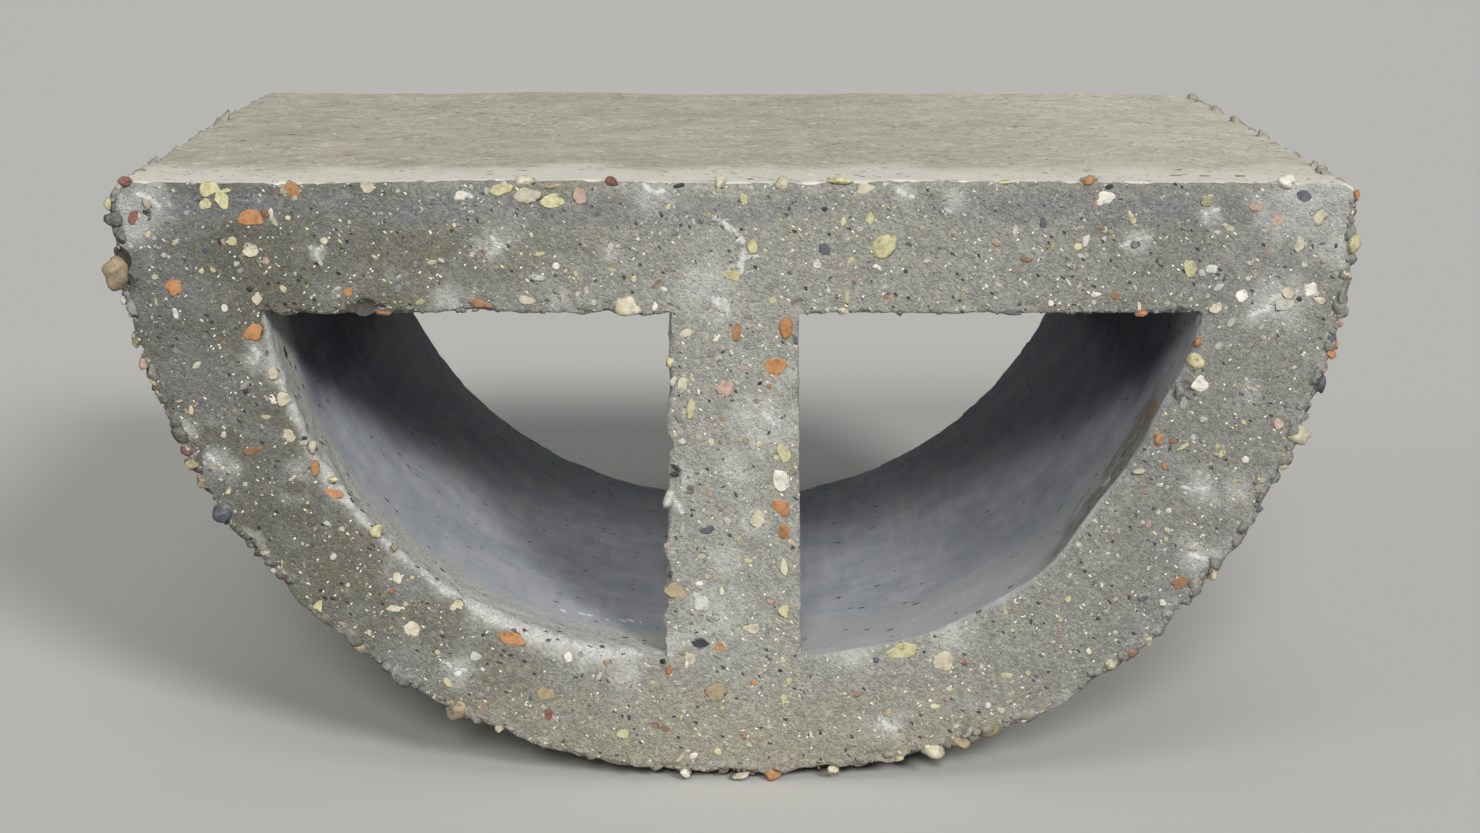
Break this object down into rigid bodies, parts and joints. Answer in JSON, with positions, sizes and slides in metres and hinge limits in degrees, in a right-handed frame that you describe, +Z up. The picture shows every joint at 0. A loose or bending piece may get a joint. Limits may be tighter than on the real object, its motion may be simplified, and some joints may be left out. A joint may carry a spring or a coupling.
{
  "type": "half-round hollow concrete block",
  "caption": "Cast concrete block with a flat deck, a half-round belly and through cells parted by a web, for infill, copings, edging or duct runs.",
  "frame": {"origin": "on the floor under the middle of the belly, halfway between the ends", "axes": "+X across the deck, +Y from the thick-walled front end to the thin-walled rear end, +Z up"},
  "size_m": [0.4, 0.3, 0.2],
  "materials": {
    "concrete": "rough cast, matt, with river gravel showing"
  },
  "bodies": {
    "root": {"half_round_block": "concrete"}
  },
  "joints": []
}
